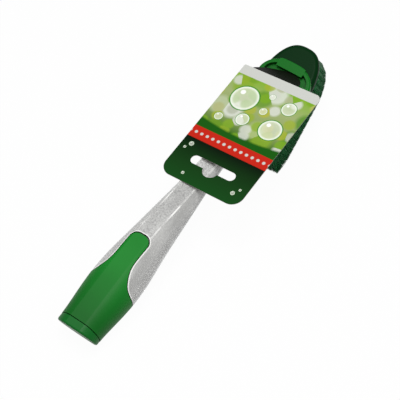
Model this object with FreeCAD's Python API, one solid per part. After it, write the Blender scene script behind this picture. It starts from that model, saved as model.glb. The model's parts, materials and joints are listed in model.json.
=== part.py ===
"""Dish wand: a clear refillable handle with a green grip feeds soap to a slide-on brush head.

The wand is drawn with its handle along X, from the fill cap towards the brush, Y to the left and Z up.
The head is drawn in a frame of its own, pitched up from the handle: X along the plate from its rear
edge, Y to the left, Z up from the tips of the tufts. At the end the whole wand is laid down on the rear
edge of its grip and the rear row of its tufts, which is how it rests on a table.
"""
import FreeCAD, Part
import math
import os

from FreeCAD import Placement, Rotation, Vector

# Fill cap
cap_length = 3.6
cap_lip_inset = 0.15
cap_edge_round = 1.2
cap_end_tilt = 11.0
cap_seam = 0.5
plug_length = 8.0
plug_wall = 1.8

# Handle outline: half width, top and bottom at seven stations
rear_x = 6.4
rear_half_width = 14.4
rear_top = 11.5
rear_bottom = 11.2
palm_x = 23.0
palm_half_width = 15.6
palm_top = 13.0
palm_bottom = 12.9
belly_x = 40.5
belly_half_width = 16.4
belly_top = 14.4
belly_bottom = 14.0
hump_x = 69.0
hump_half_width = 13.7
hump_top = 14.9
hump_bottom = 12.6
waist_x = 96.0
waist_half_width = 11.2
waist_top = 11.4
waist_bottom = 10.2
throat_x = 121.0
throat_half_width = 9.0
throat_top = 8.2
throat_bottom = 8.2
neck_x = 150.0
neck_half_width = 7.0
neck_top = 6.6
neck_bottom = 6.8
facet_half_width = 5.4
neck_facet_half_width = 3.2
ridge_round = 1.2

# Walls of the clear handle and the grip sleeve let into it
handle_wall = 2.0
grip_thickness = 1.6
grip_front = 35.5
grip_groove = 0.45
tongue_tip = 71.0
tongue_half_width = 6.9
tongue_round = 5.4
tongue_gap = 0.9
tongue_root = 55.0
end_wall = 3.0

# Threaded fill bore with its gasket, and the outlet spigot
fill_bore_radius = 7.4
fill_tube_wall = 1.6
fill_tube_length = 9.5
thread_clearance = 0.3
gasket_width = 1.8
gasket_thickness = 1.3
seat_clearance = 0.05
spigot_radius = 5.5
spigot_length = 15.0
outlet_radius = 3.0
seal_ring_radius = 0.55
seal_ring_sides = 8
seal_groove_width = 1.6
seal_position = 8.0
socket_clearance = 0.2

# Brush plate, in the head's frame
head_x = 180.0
head_z = -40.6
head_pitch = 13.0
plate_top = 21.0
plate_thickness = 4.6
plate_length = 80.6
plate_rear_half_width = 23.3
plate_corner = 5.0
plate_nose_length = 30.2
plate_nose_half_width = 19.4
plate_nose_squareness = 2.6
plate_nose_points = 13
plate_edge_round = 3.2

# Tufts in rings under the plate
tuft_inset = 3.4
tuft_ring_pitch = 5.0
tuft_rings = 4
tuft_pitch = 4.8
tuft_least_pitch = 4.3
tuft_root_radius = 1.4
tuft_tip_radius = 2.3
tuft_sides = 8
tuft_hole_depth = 2.8
tuft_hole_clearance = 0.06
tuft_outer_lean = 13.0
tuft_inner_lean = 3.0

# Slide rails between the plate and the foot
rail_start = 10.0
rail_toe_gap = 1.0
flange_half_width = 11.6
flange_thickness = 1.7
web_half_width = 9.6
rail_wall = 2.2
rail_lip = 1.2
rail_stop = 1.6
slide_clearance = 0.25
weld_depth = 2.2
weld_margin = 5.5

# Feed of soap through the foot and the plate
feed_offset = 2.0
feed_radius = 2.5
feed_rise = 2.5
channel_lap = 1.0
valve_radius = 5.2
valve_thickness = 1.0
valve_slit = 4.4
valve_slit_width = 0.25
retainer_thickness = 1.3
retainer_bore = 3.2
pocket_clearance = 0.12

# Foot: collar round the neck, shoulders over the plate, and the lipped toe
collar_wall = 1.0
collar_gap = 0.3
foot_mid_x = 164.0
foot_mid_half_width = 9.4
foot_mid_top = 6.9
foot_mid_bottom = 10.5
foot_heel_offset = 2.0
foot_heel_half_width = 14.2
foot_heel_rise = 23.4
foot_heel_depth = 1.5
foot_instep_share = 0.535
foot_instep_half_width = 17.6
foot_instep_rise = 13.2
foot_front_setback = 2.0
foot_front_half_width = 17.4
foot_front_rise = 5.6
foot_depth = 16.0
foot_rear_u = 5.0
heel_relief = 1.5
toe_setback = 16.6
toe_length = 17.0
toe_half_width = 19.2
toe_height = 4.2
toe_rim = 3.2
toe_edge_round = 1.5
toe_floor = 1.2
toe_bridge = 5.0
bridge_lap = 1.0
thumb_lip_half_width = 10.0
thumb_lip_depth = 6.4
thumb_lip_thickness = 1.2
thumb_lip_proud = 0.4
thumb_lip_round = 0.4

# Retail card: a printed sheet that lies on the handle, with a tab tucked into the toe
card_thickness = 0.5
card_width = 60.7
card_length = 89.4
card_band = 7.5
card_corner = 8.0
card_band_corner = 4.0
card_side_shift = -6.8
card_roll = -8.0
card_clearance = 0.3
slot_from_edge = 17.6
slot_length = 34.0
slot_height = 6.6
slot_bump_radius = 5.6
slot_bump_drop = 2.2
tab_half_width = 17.5
tab_end_half_width = 11.0
tab_end_gap = 0.7
tab_end_lift = 2.2
tab_run = 16.2

# How far a cutter runs past what it cuts
overshoot = 1.0

stations = (
    (rear_x, rear_half_width, rear_top, rear_bottom, facet_half_width),
    (palm_x, palm_half_width, palm_top, palm_bottom, facet_half_width),
    (belly_x, belly_half_width, belly_top, belly_bottom, facet_half_width),
    (hump_x, hump_half_width, hump_top, hump_bottom, facet_half_width),
    (waist_x, waist_half_width, waist_top, waist_bottom, facet_half_width),
    (throat_x, throat_half_width, throat_top, throat_bottom, facet_half_width),
    (neck_x, neck_half_width, neck_top, neck_bottom, neck_facet_half_width),
)
head_frame = Placement(Vector(head_x, 0, head_z), Rotation(Vector(0, 1, 0), -head_pitch))
plate_nose_start = plate_length - plate_nose_length
plate_bottom = plate_top - plate_thickness
flange_bottom = plate_top + slide_clearance
flange_top = flange_bottom + flange_thickness
lip_bottom = flange_top + slide_clearance
rail_top = lip_bottom + rail_lip
foot_bottom = rail_top + slide_clearance
toe_front = plate_length - toe_setback
toe_start = toe_front - toe_length
rail_end = toe_start - rail_toe_gap
feed_u = 0.5 * (rail_start + rail_end) + feed_offset
weld_end = feed_u + feed_radius + weld_margin
foot_front_offset = toe_start - foot_front_setback
foot_instep_offset = foot_instep_share * foot_front_offset
everywhere = neck_x + plate_length


def handle_section(x, half_width, top, bottom, facet, inset=0.0):
    """Closed outline across the handle: a flat facet on top and one smooth curve round the rest."""
    w = half_width - inset
    t = top - inset
    b = bottom - inset
    f = facet - 0.4 * inset
    curve = Part.BSplineCurve()
    curve.interpolate([
        Vector(x, f, t),
        Vector(x, 0.84 * w, 0.62 * t),
        Vector(x, w, 0),
        Vector(x, 0.76 * w, -0.76 * b),
        Vector(x, 0, -b),
        Vector(x, -0.76 * w, -0.76 * b),
        Vector(x, -w, 0),
        Vector(x, -0.84 * w, 0.62 * t),
        Vector(x, -f, t),
    ])
    flat = Part.LineSegment(Vector(x, -f, t), Vector(x, f, t))
    return Part.Wire([curve.toShape(), flat.toShape()])


def handle_loft(insets):
    """Body through the handle's stations, each drawn in by its own inset."""
    wires = [handle_section(*station, inset) for station, inset in zip(stations, insets)]
    return Part.makeLoft(wires, True, False)


def rod(radius, x_start, x_end):
    """Round rod along the handle's axis."""
    return Part.makeCylinder(radius, x_end - x_start, Vector(x_start, 0, 0), Vector(1, 0, 0))


def block(x_start, x_end, half_width, z_start, z_end):
    """Block centred on the wand's middle plane."""
    size = Vector(x_end - x_start, 2 * half_width, z_end - z_start)
    return Part.makeBox(size.x, size.y, size.z, Vector(x_start, -half_width, z_start))


def side_block(x_start, x_end, y_start, y_end, z_start, z_end):
    """Block on the left side and its mirror on the right."""
    left = Part.makeBox(x_end - x_start, y_end - y_start, z_end - z_start, Vector(x_start, y_start, z_start))
    right = left.mirror(Vector(0, 0, 0), Vector(0, 1, 0))
    return [left, right]


def line(start, end):
    return Part.LineSegment(start, end).toShape()


def arc(start, middle, end):
    return Part.Arc(start, middle, end).toShape()


def spline(points, first=None, last=None):
    curve = Part.BSplineCurve()
    if first is None:
        curve.interpolate(points)
    else:
        curve.interpolate(Points=points, InitialTangent=first, FinalTangent=last)
    return curve.toShape()


def prism(edges, z_start, z_end):
    """Straight-walled solid on a closed outline drawn at height zero."""
    face = Part.Face(Part.Wire(edges))
    face.translate(Vector(0, 0, z_start))
    return face.extrude(Vector(0, 0, z_end - z_start))


def grip_region(grow):
    """Space that the grip takes: all round behind its front edge, and a tongue up the top of the handle."""
    span = belly_half_width + 2 * overshoot
    half = tongue_half_width + grow
    tip = tongue_tip + grow * tongue_gap / grip_groove
    front = grip_front + grow
    root = tongue_root
    shoulder = tip - tongue_round
    knee = 0.707
    edges = []
    for side in (1, -1):
        flare = Vector(root + (front - root) * knee, side * (span + (half - span) * knee), 0)
        edges.append(line(Vector(rear_x - overshoot, 0, 0), Vector(rear_x - overshoot, side * span, 0)))
        edges.append(line(Vector(rear_x - overshoot, side * span, 0), Vector(front, side * span, 0)))
        edges.append(spline(
            [Vector(front, side * span, 0), flare, Vector(root, side * half, 0)],
            Vector(0, -side, 0), Vector(1, 0, 0)))
        edges.append(line(Vector(root, side * half, 0), Vector(shoulder, side * half, 0)))
        corner = Vector(shoulder + 0.74 * tongue_round, side * 0.74 * half, 0)
        edges.append(arc(Vector(shoulder, side * half, 0), corner, Vector(tip, 0, 0)))
    upper = prism(Part.sortEdges(edges)[0], 0, 2 * hump_top)
    lower = block(rear_x - overshoot, front, span, -2 * belly_bottom, 0)
    return upper.fuse(lower)


def handle_outside():
    """Whole outside of handle and grip, with the ridges along its top facet rounded."""
    body = handle_loft([0] * len(stations))
    ridges = [edge for edge in body.Edges if edge.BoundBox.XLength > neck_x - 2 * rear_x]
    return body.makeFillet(ridge_round, ridges)


def build_handle():
    """Clear reservoir with its fill neck and spigot, and the grip sleeve let into it."""
    outside = handle_outside()
    core = handle_loft([grip_thickness] * len(stations))
    sleeve = outside.common(grip_region(0)).cut(core)

    deep = grip_thickness + handle_wall
    hollow = handle_loft([deep, deep, deep, deep, handle_wall, handle_wall, handle_wall])
    hollow = hollow.common(block(rear_x + end_wall, neck_x - end_wall, everywhere, -everywhere, everywhere))
    hollow = hollow.cut(rod(fill_bore_radius + fill_tube_wall, rear_x, rear_x + fill_tube_length))
    body = outside.cut(grip_region(grip_groove).cut(core))
    body = body.fuse(rod(spigot_radius, neck_x - end_wall, neck_x + spigot_length))
    body = body.cut(hollow)
    body = body.cut(rod(fill_bore_radius, rear_x - overshoot, rear_x + fill_tube_length + overshoot))
    body = body.cut(rod(outlet_radius, neck_x - end_wall - overshoot, neck_x + spigot_length + overshoot))
    seal_x = neck_x + seal_position
    seal_middle = spigot_radius - seal_ring_radius + socket_clearance
    floor = seal_middle - seal_ring_radius
    groove = rod(spigot_radius + overshoot, seal_x - 0.5 * seal_groove_width, seal_x + 0.5 * seal_groove_width)
    body = body.cut(groove.cut(rod(floor, neck_x, neck_x + spigot_length)))
    corners = []
    for i in range(seal_ring_sides):
        turn = 2 * math.pi * i / seal_ring_sides
        corners.append(Vector(seal_x + seal_ring_radius * math.sin(turn), 0,
                              seal_middle + seal_ring_radius * math.cos(turn)))
    section = Part.Face(Part.makePolygon(corners + corners[:1]))
    ring = section.revolve(Vector(seal_x, 0, 0), Vector(1, 0, 0), 360)
    return body, sleeve, ring


def build_cap():
    """Fill cap: a thin head with a slanted end, a hollow plug that screws into the handle, and its gasket."""
    rear = stations[0][1:]
    front = rear_x - cap_seam
    end = front - cap_length
    head = Part.makeLoft([handle_section(x, *rear, cap_lip_inset) for x in (front, end - cap_length)], True, True)
    away = block(end - 4 * cap_length, end, 3 * rear_half_width, -3 * rear_top, 3 * rear_top)
    away.rotate(Vector(end, 0, 0), Vector(0, 1, 0), -cap_end_tilt)
    head = head.cut(away)
    rim = [edge for edge in head.Edges if edge.BoundBox.XMax < front - 0.3 * cap_length]
    head = head.makeFillet(cap_edge_round, rim)
    plug = fill_bore_radius - thread_clearance
    cap = head.fuse(rod(plug, front - 0.5 * cap_length, rear_x + plug_length))
    cap = cap.cut(rod(plug - plug_wall, front, rear_x + plug_length + overshoot))
    seat = rear_x - gasket_thickness - 2 * seat_clearance
    outer = fill_bore_radius + gasket_width
    ring_inner = rod(plug, seat - overshoot, rear_x + plug_length)
    cap = cap.cut(rod(outer + thread_clearance, seat, front + overshoot).cut(ring_inner))
    gasket = rod(outer, seat + seat_clearance, rear_x - seat_clearance)
    gasket = gasket.cut(rod(plug + seat_clearance, seat, rear_x))
    return cap, gasket


def plate_edges():
    """Outline of the brush plate: square rear with round corners, straight sides drawn in to a round nose."""
    r = plate_corner
    w = plate_rear_half_width
    u = plate_nose_start
    n = plate_nose_half_width
    reach = plate_nose_length
    taper = (w - n) / (u - r)
    side = Vector(u - r, n - w, 0)
    edges = [line(Vector(0, -(w - r), 0), Vector(0, w - r, 0))]
    for s in (1, -1):
        middle = Vector(r * (1 - math.sqrt(0.5)), s * (w - r + r * math.sqrt(0.5)), 0)
        edges.append(arc(Vector(0, s * (w - r), 0), middle, Vector(r, s * w, 0)))
        edges.append(line(Vector(r, s * w, 0), Vector(u, s * n, 0)))
    nose = []
    for i in range(plate_nose_points):
        turn = math.pi * i / (plate_nose_points - 1)
        forward = max(0.0, math.sin(turn)) ** (2 / plate_nose_squareness)
        across = math.copysign(abs(math.cos(turn)) ** (2 / plate_nose_squareness), math.cos(turn))
        nose.append(Vector(u + reach * forward, (n - taper * reach * forward) * across, 0))
    edges.append(spline(nose, side, Vector(-side.x, side.y, 0)))
    return Part.sortEdges(edges)[0]


def tuft_ring(number):
    """Root points of one ring of tufts, clear of the feed hole and of each other, with the way each leans."""
    inset = tuft_inset + number * tuft_ring_pitch
    ring = Part.Wire(plate_edges()).makeOffset2D(-inset)
    count = max(3, round(ring.Length / tuft_pitch))
    points = ring.discretize(Number=count + 1)[:-1]
    centre = sum(points, Vector(0, 0, 0)) / count
    roots = []
    for i, point in enumerate(points):
        along = points[(i + 1) % count] - points[i - 1]
        outward = Vector(along.y, -along.x, 0).normalize()
        if outward.dot(point - centre) < 0:
            outward = -outward
        off_feed = (point - Vector(feed_u, 0, 0)).Length > feed_radius + 2 * tuft_root_radius
        apart = all((point - other).Length > tuft_least_pitch for other, _ in roots)
        if off_feed and apart:
            roots.append((point, outward))
    return roots


def tuft_axis(point, outward, lean):
    """Start of a tuft inside the plate and the way its bristles run."""
    out = math.sin(math.radians(lean))
    down = math.cos(math.radians(lean))
    way = Vector(outward.x * out, outward.y * out, -down)
    root = Vector(point.x, point.y, plate_bottom)
    return root - way * (tuft_hole_depth / down), way


def tuft_solid(start, way, root, slope, end_z):
    """Eight-sided bundle that widens from its root and is cut level at a height."""
    side = way.cross(Vector(0, 0, 1))
    side = side.normalize() if side.Length > 1e-6 else Vector(1, 0, 0)
    across = way.cross(side)
    top = []
    bottom = []
    for i in range(tuft_sides):
        turn = 2 * math.pi * i / tuft_sides
        spoke = side * math.cos(turn) + across * math.sin(turn)
        corner = start + spoke * root
        run = way + spoke * slope
        top.append(corner)
        bottom.append(corner + run * ((end_z - corner.z) / run.z))
    faces = [Part.Face(Part.makePolygon(ring + ring[:1])) for ring in (top, bottom)]
    for i in range(tuft_sides):
        j = (i + 1) % tuft_sides
        faces.append(Part.Face(Part.makePolygon([top[i], top[j], bottom[j], bottom[i], top[i]])))
    solid = Part.Solid(Part.Shell(faces))
    solid.fix(1e-6, 1e-6, 1e-6)
    return solid if solid.Volume > 0 else solid.reversed()


def build_brush():
    """Brush plate with its rails and feed hole, and the tufts set in it ring by ring."""
    plate = prism(plate_edges(), plate_bottom, plate_top)
    rim = [edge for edge in plate.Edges if edge.BoundBox.ZMin > plate_top - 0.01]
    plate = plate.makeFillet(plate_edge_round, rim)
    inner = flange_half_width + slide_clearance
    outer = inner + rail_wall
    extras = side_block(rail_start, rail_end, inner, outer, plate_top - overshoot, rail_top)
    extras += side_block(rail_start, rail_end, web_half_width + slide_clearance, outer, lip_bottom, rail_top)
    stop_end = rail_start - slide_clearance
    extras.append(block(stop_end - rail_stop, stop_end, outer, plate_top - overshoot, flange_top))
    plate = plate.multiFuse(extras)
    plate = plate.cut(Part.makeCylinder(feed_radius, 3 * plate_thickness, Vector(feed_u, 0, plate_bottom - overshoot)))

    holes = []
    rings = []
    slope = (tuft_tip_radius - tuft_root_radius) / (plate_bottom + tuft_hole_depth)
    for number in range(tuft_rings):
        lean = tuft_outer_lean + (tuft_inner_lean - tuft_outer_lean) * number / max(1, tuft_rings - 1)
        tufts = []
        for point, outward in tuft_ring(number):
            start, way = tuft_axis(point, outward, lean)
            tufts.append(tuft_solid(start, way, tuft_root_radius, slope, 0))
            bore = tuft_root_radius + tuft_hole_clearance
            holes.append(tuft_solid(start, way, bore, slope, plate_bottom - overshoot))
        rings.append(Part.makeCompound(tufts))
    plate = plate.cut(Part.makeCompound(holes))
    return plate, rings


def toe_edges(inset):
    """Outline of the toe: open at the instep, sides and front one broad arch."""
    w = toe_half_width - inset
    front = toe_front - inset
    start = toe_start + inset
    reach = front - start
    arch = [Vector(start, w, 0), Vector(start + 0.54 * reach, 0.95 * w, 0), Vector(start + 0.88 * reach, 0.66 * w, 0),
            Vector(front, 0, 0), Vector(start + 0.88 * reach, -0.66 * w, 0),
            Vector(start + 0.54 * reach, -0.95 * w, 0), Vector(start, -w, 0)]
    return [spline(arch), line(Vector(start, -w, 0), Vector(start, w, 0))]


def round_arch(solid, top, radius):
    """Round the edges along the top of a toe piece that run to its front."""
    boxes = [(edge, edge.BoundBox) for edge in solid.Edges]
    rim = [edge for edge, box in boxes if box.ZMin > top - 0.01 and box.XMax > toe_front - radius]
    return solid.makeFillet(radius, rim)


def foot_section(x, half_width, top, bottom):
    """Closed outline across the foot: a crowned top and a fuller underside."""
    middle = 0.5 * (top + bottom)
    half = 0.5 * (top - bottom)
    curve = Part.BSplineCurve()
    points = [Vector(x, half_width * math.cos(a) * abs(math.cos(a)) ** -0.15,
                     middle + half * math.sin(a) * abs(math.sin(a)) ** -0.15)
              for a in (math.radians(22.5 + 45 * i) for i in range(8))]
    curve.interpolate(Points=points, PeriodicFlag=True)
    return Part.Wire([curve.toShape()])


def foot_station(offset, half_width, rise, depth):
    """Section of the foot over the plate: it rises above the plate's top and is drawn some way below it."""
    pitch = math.radians(head_pitch)
    level = head_z + offset * math.tan(pitch) + plate_top / math.cos(pitch)
    return head_x + offset, half_width, level + rise, level - depth


def build_foot():
    """Foot shell with its neck socket and lipped toe, and the rail base welded under it."""
    collar_x = neck_x + collar_gap
    collar = neck_half_width + collar_wall
    sections = (
        (collar_x, collar, neck_top + collar_wall, -neck_bottom - collar_wall),
        (foot_mid_x, foot_mid_half_width, foot_mid_top, -foot_mid_bottom),
        foot_station(foot_heel_offset, foot_heel_half_width, foot_heel_rise, foot_heel_depth),
        foot_station(foot_instep_offset, foot_instep_half_width, foot_instep_rise, foot_depth),
        foot_station(foot_front_offset, foot_front_half_width, foot_front_rise, foot_depth),
    )
    shell = Part.makeLoft([foot_section(*section) for section in sections], True, False)
    under = block(-everywhere, everywhere, everywhere, -everywhere, foot_bottom)
    heel = block(-everywhere, foot_rear_u, everywhere, -everywhere, foot_bottom + heel_relief)
    for away in (under, heel):
        away.Placement = head_frame
        shell = shell.cut(away)

    toe_top = plate_top + toe_height
    toe = round_arch(prism(toe_edges(0), plate_top + slide_clearance, toe_top), toe_top, toe_edge_round)
    bridge = prism(toe_edges(toe_edge_round), plate_top + slide_clearance, foot_bottom + bridge_lap)
    bridge = bridge.common(block(0, toe_start + toe_bridge, everywhere, 0, everywhere))
    toe = toe.fuse(bridge)
    tray = prism(toe_edges(toe_rim), plate_top + toe_floor, plate_top + 3 * toe_height)
    tray = tray.common(block(toe_start + toe_bridge, everywhere, everywhere, 0, everywhere))
    lip_start = toe_front - thumb_lip_depth
    lip_top = toe_top + thumb_lip_proud
    lip = prism(toe_edges(-thumb_lip_proud), lip_top - thumb_lip_proud - thumb_lip_thickness, lip_top)
    lip = round_arch(lip.common(block(lip_start, everywhere, thumb_lip_half_width, 0, everywhere)), lip_top,
                     thumb_lip_round)
    weld_top = foot_bottom + weld_depth
    base = block(rail_start, rail_end, flange_half_width, flange_bottom, flange_top)
    base = base.fuse(block(rail_start, rail_end, web_half_width, flange_bottom, foot_bottom))
    base = base.fuse(block(rail_start, weld_end, web_half_width, foot_bottom, weld_top))
    recess = block(rail_start - seat_clearance, weld_end + seat_clearance,
                   web_half_width + seat_clearance, foot_bottom - overshoot, weld_top + seat_clearance)
    pocket_top = flange_bottom + seat_clearance + retainer_thickness + valve_thickness + 2 * seat_clearance
    pocket = Part.makeCylinder(valve_radius + pocket_clearance, pocket_top - flange_bottom + overshoot,
                               Vector(feed_u, 0, flange_bottom - overshoot))
    feed = Part.makeCylinder(feed_radius, weld_top + feed_rise - flange_bottom, Vector(feed_u, 0, flange_bottom))
    base = base.cut(pocket).cut(feed)

    retainer = Part.makeCylinder(valve_radius, retainer_thickness, Vector(feed_u, 0, flange_bottom + seat_clearance))
    bore = Part.makeCylinder(retainer_bore, 3 * retainer_thickness, Vector(feed_u, 0, flange_bottom - overshoot))
    retainer = retainer.cut(bore)
    valve_z = flange_bottom + 2 * seat_clearance + retainer_thickness
    valve = Part.makeCylinder(valve_radius, valve_thickness, Vector(feed_u, 0, valve_z))
    half = 0.5 * valve_slit
    slit_top = valve_z + valve_thickness + overshoot
    valve = valve.cut(block(feed_u - half, feed_u + half, 0.5 * valve_slit_width, valve_z - overshoot, slit_top))
    for piece in (toe, tray, lip, base, recess, feed, retainer, valve):
        piece.Placement = head_frame

    shell = shell.fuse(toe).cut(tray).fuse(lip).cut(recess).cut(feed)
    socket_end = neck_x + spigot_length + collar_gap
    shell = shell.cut(rod(spigot_radius + socket_clearance, collar_x - overshoot, socket_end))
    spout = head_frame.multVec(Vector(feed_u, 0, weld_top + feed_rise))
    channel_start = Vector(socket_end - channel_lap, 0, 0)
    channel = spout - channel_start
    shell = shell.cut(Part.makeCylinder(feed_radius, channel.Length, channel_start, channel))
    shell = shell.cut(Part.makeSphere(feed_radius, spout))
    return shell, base, retainer, valve


def card_edges():
    """Card outline with round corners at the hanging end and one small one at the band."""
    half = 0.5 * card_width
    top = card_length + card_band
    r = card_corner
    s = card_band_corner
    k = 1 - math.sqrt(0.5)
    return [
        line(Vector(0, r - half, 0), Vector(0, half - r, 0)),
        arc(Vector(0, half - r, 0), Vector(k * r, half - k * r, 0), Vector(r, half, 0)),
        line(Vector(r, half, 0), Vector(top, half, 0)),
        line(Vector(top, half, 0), Vector(top, s - half, 0)),
        arc(Vector(top, s - half, 0), Vector(top - k * s, k * s - half, 0), Vector(top - s, -half, 0)),
        line(Vector(top - s, -half, 0), Vector(r, -half, 0)),
        arc(Vector(r, -half, 0), Vector(k * r, k * r - half, 0), Vector(0, r - half, 0)),
    ]


def build_card():
    """Card sheet with its hanging slot, and the tab folded down from its far edge."""
    sheet = prism(card_edges(), 0, card_thickness)
    reach = 0.5 * (slot_length - slot_height)
    low = -overshoot
    deep = card_thickness + 2 * overshoot
    slot = Part.makeBox(slot_height, 2 * reach, deep, Vector(slot_from_edge - 0.5 * slot_height, -reach, low))
    for side in (-reach, reach):
        slot = slot.fuse(Part.makeCylinder(0.5 * slot_height, deep, Vector(slot_from_edge, side, low)))
    slot = slot.fuse(Part.makeCylinder(slot_bump_radius, deep, Vector(slot_from_edge - slot_bump_drop, 0, low)))
    sheet = sheet.cut(slot)

    fold_x = card_length + card_band
    tuck_u = toe_front - thumb_lip_depth - tab_end_gap
    tuck = head_frame.multVec(Vector(tuck_u, 0, plate_top + toe_floor + tab_end_lift))
    card_start = tuck.x - tab_run - fold_x
    slope = math.tan(math.radians(card_roll))
    blend = (card_start - throat_x) / (waist_x - throat_x)
    handle_top = throat_top + max(0.0, blend) * (waist_top - throat_top)
    height = handle_top + card_clearance + slope * (card_side_shift - facet_half_width)
    drop = height - slope * card_side_shift - tuck.z
    tab_length = math.hypot(tab_run, drop)
    tab_fold = math.degrees(math.atan2(drop, tab_run))

    middle = -card_side_shift
    arch = [Vector(0, middle + tab_half_width, 0), Vector(0.7 * tab_length, middle + tab_end_half_width, 0),
            Vector(tab_length, middle, 0), Vector(0.7 * tab_length, middle - tab_end_half_width, 0),
            Vector(0, middle - tab_half_width, 0)]
    tab = prism([spline(arch), line(arch[-1], arch[0])], 0, card_thickness)
    tab.rotate(Vector(0, 0, 0), Vector(0, 1, 0), tab_fold)
    tab.translate(Vector(fold_x - card_thickness * math.sin(math.radians(tab_fold)), 0, 0))
    sheet = sheet.fuse(tab)
    sheet.Placement = Placement(Vector(card_start, card_side_shift, height), Rotation(Vector(1, 0, 0), card_roll))
    return sheet


def lay_down(nodes):
    """Turn the wand until grip and tufts touch the table, and put the origin under the middle of its box."""
    lean = math.radians(tuft_outer_lean)
    tip_u = tuft_inset - plate_bottom * math.tan(lean) - tuft_tip_radius / math.cos(lean)
    tip = head_frame.multVec(Vector(tip_u, 0, 0))
    rest = math.degrees(math.atan2(-rear_bottom - tip.z, tip.x - rear_x))
    for shape in nodes.values():
        shape.rotate(Vector(0, 0, 0), Vector(0, 1, 0), -rest)
    box = FreeCAD.BoundBox()
    for shape in nodes.values():
        box.add(shape.optimalBoundingBox(False))
    shift = Vector(-box.Center.x, -box.Center.y, -box.ZMin)
    for shape in nodes.values():
        shape.translate(shift)
    print(f"rest angle {rest:.4f} deg, shift {shift.x:.4f} {shift.y:.4f} {shift.z:.4f}")
    print(f"box {box.XLength:.2f} x {box.YLength:.2f} x {box.ZLength:.2f} mm")


def main():
    os.makedirs("parts", exist_ok=True)
    reservoir, grip_sleeve, neck_seal = build_handle()
    end_cap, cap_gasket = build_cap()
    brush_plate, rings = build_brush()
    foot_shell, rail_base, valve_retainer, slit_valve = build_foot()
    nodes = {
        "reservoir": reservoir,
        "grip_sleeve": grip_sleeve,
        "neck_seal": neck_seal,
        "end_cap": end_cap,
        "cap_gasket": cap_gasket,
        "foot_shell": foot_shell,
        "rail_base": rail_base,
        "valve_retainer": valve_retainer,
        "slit_valve": slit_valve,
        "brush_plate": brush_plate,
        "card": build_card(),
    }
    brush_plate.Placement = head_frame
    for name, ring in zip(("tufts_outer", "tufts_middle", "tufts_inner", "tufts_core"), rings):
        ring.Placement = head_frame
        nodes[name] = ring
    lay_down(nodes)
    for name, shape in nodes.items():
        print(f"{name}: {len(shape.Solids)} solids, {shape.Volume:.1f} mm3, valid {shape.isValid()}")
        shape.exportStep(f"parts/{name}.step")


if __name__ == "__main__":
    main()
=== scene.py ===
"""Dresses the dish wand: bristles, cap thread, printed card, plastics and rubbers, and the stage around it."""
import json
import math

import bpy
import numpy as np
from bpy.props import FloatProperty, FloatVectorProperty, IntProperty, PointerProperty
from mathutils import Matrix


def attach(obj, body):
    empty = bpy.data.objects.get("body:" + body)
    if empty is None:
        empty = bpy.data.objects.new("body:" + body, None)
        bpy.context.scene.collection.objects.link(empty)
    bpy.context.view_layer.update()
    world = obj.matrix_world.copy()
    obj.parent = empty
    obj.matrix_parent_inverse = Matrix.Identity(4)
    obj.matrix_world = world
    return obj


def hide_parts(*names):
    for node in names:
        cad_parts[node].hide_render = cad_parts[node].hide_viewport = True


bl_info = {
    "name": "Dish Wand Dressing",
    "version": (1, 0, 0),
    "blender": (4, 5, 0),
    "location": "3D View > Sidebar > Dish Wand",
    "description": "Gives a packed dish wand its bristles, thread, print, finishes and stage",
    "category": "Object",
}

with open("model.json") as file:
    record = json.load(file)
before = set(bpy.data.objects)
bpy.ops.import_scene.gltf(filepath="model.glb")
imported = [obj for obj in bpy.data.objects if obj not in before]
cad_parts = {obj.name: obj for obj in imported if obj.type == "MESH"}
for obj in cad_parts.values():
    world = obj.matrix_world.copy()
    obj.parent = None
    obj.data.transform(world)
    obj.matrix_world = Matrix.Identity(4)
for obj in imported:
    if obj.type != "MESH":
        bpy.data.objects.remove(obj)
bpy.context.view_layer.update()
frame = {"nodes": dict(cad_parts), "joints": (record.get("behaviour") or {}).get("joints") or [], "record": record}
nodes = frame["nodes"]
joints = {joint["name"]: joint for joint in frame["joints"]}
mounts = {mount["name"]: mount for mount in frame["record"]["mounts"]}

MM = 0.001

# The handle's own frame: X from the cap to the brush, Y to the left, Z out of the top facet
handle_rear = np.array(joints["cap_turn"]["pos_m"])
handle_x = -np.array(joints["cap_draw"]["axis"])
handle_y = np.array([0.0, 1.0, 0.0])
handle_z = np.cross(handle_x, handle_y)
handle_pitch = math.atan2(handle_x[2], handle_x[0])

# The head's own frame: X along the plate to its nose, Z up out of the plate
plate_x = -np.array(joints["brush_slide"]["axis"])
plate_z = np.array(joints["card_lift"]["axis"])

# The card's own frame: X from the hanging end to the band, Y to the left, Z out of the print
card_z = np.array(mounts["hang_slot"]["axis"])
card_roll = math.asin(float(-card_z[1]))

# A CAD tuft is a prism: two triangles on each of its sides, and a fan of them over each of its two ends
TUFT_SIDES = 8
TUFT_TRIANGLES = 2 * TUFT_SIDES + 2 * (TUFT_SIDES - 2)

# Soft boxes: name, place and side in metres, and power in watts
LAMPS = (
    ("key_lamp", (-0.12, -0.03, 1.0), 0.5, 7.0),
    ("fill_lamp", (-0.15, -0.75, 0.8), 0.5, 0.9),
    ("sheen_lamp", (0.0, 0.12, 1.0), 0.16, 0.5),
)

# Bubbles on the card: distance from the hanging end, place left of the middle, and radius, in millimetres
CARD_BUBBLES = (
    (73, 14, 10.5), (59, -15.5, 8.5), (78.5, -17, 5.5), (58, 5.5, 5), (69.5, -3, 3), (82, -2, 2.4), (53, 21, 3.2),
    (26.5, 23.5, 1.8), (22.5, 26, 1.1), (8, -22, 1.6), (12, -25, 1.0), (5.5, 15, 1.2),
)


def linear(hex_colour):
    """Scene-linear red, green and blue of an sRGB hex colour."""
    srgb = [int(hex_colour[i:i + 2], 16) / 255 for i in (0, 2, 4)]
    return tuple(c / 12.92 if c <= 0.04045 else ((c + 0.055) / 1.055) ** 2.4 for c in srgb)


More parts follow.
